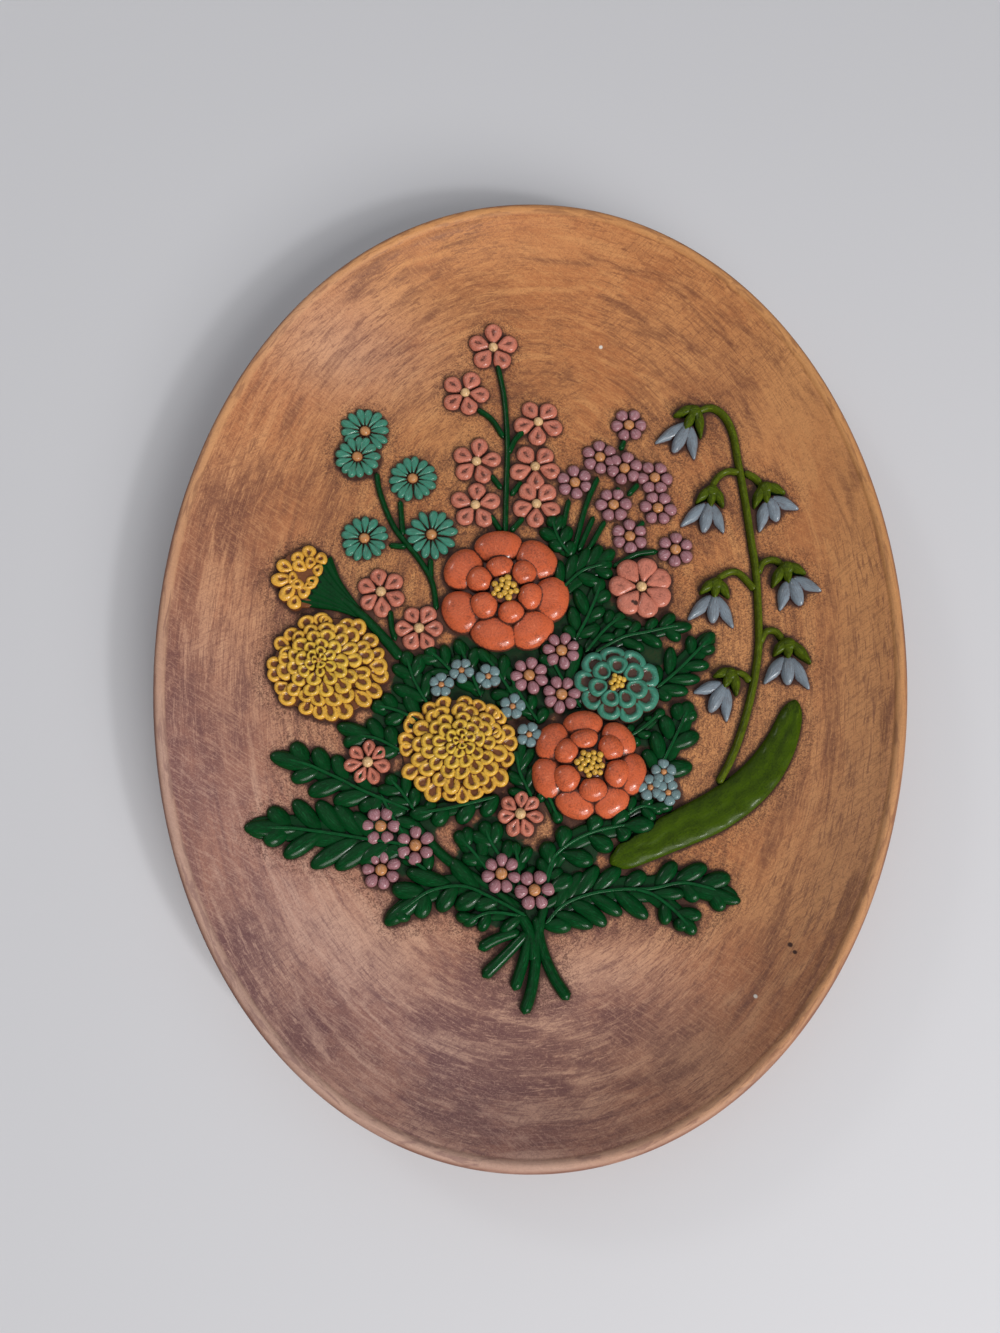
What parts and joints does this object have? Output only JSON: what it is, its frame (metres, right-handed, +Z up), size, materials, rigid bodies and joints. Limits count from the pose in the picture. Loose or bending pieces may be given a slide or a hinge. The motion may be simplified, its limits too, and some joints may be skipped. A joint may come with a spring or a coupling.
{
  "type": "decorative oval platter",
  "caption": "Shallow oval ceramic platter with a rounded lip, an oval foot ring and a raised bouquet of painted flowers, leaves and stems on its face.",
  "frame": {"origin": "under the platter's centre, on the surface that its foot ring stands on", "axes": "+Y towards the top of the bouquet, along the oval's length; +X to the right of the bouquet seen from above; +Z up, out of the face"},
  "size_m": [0.305, 0.406, 0.034],
  "materials": {
    "tan_ground": "satin, brushed and antiqued",
    "dark_green": "satin paint",
    "olive_green": "satin paint",
    "coral": "satin paint",
    "yellow": "satin paint",
    "pink": "satin paint",
    "teal": "satin paint",
    "lilac": "satin paint",
    "grey_blue": "satin paint"
  },
  "bodies": {
    "root": {"platter": "tan_ground"}
  },
  "joints": []
}
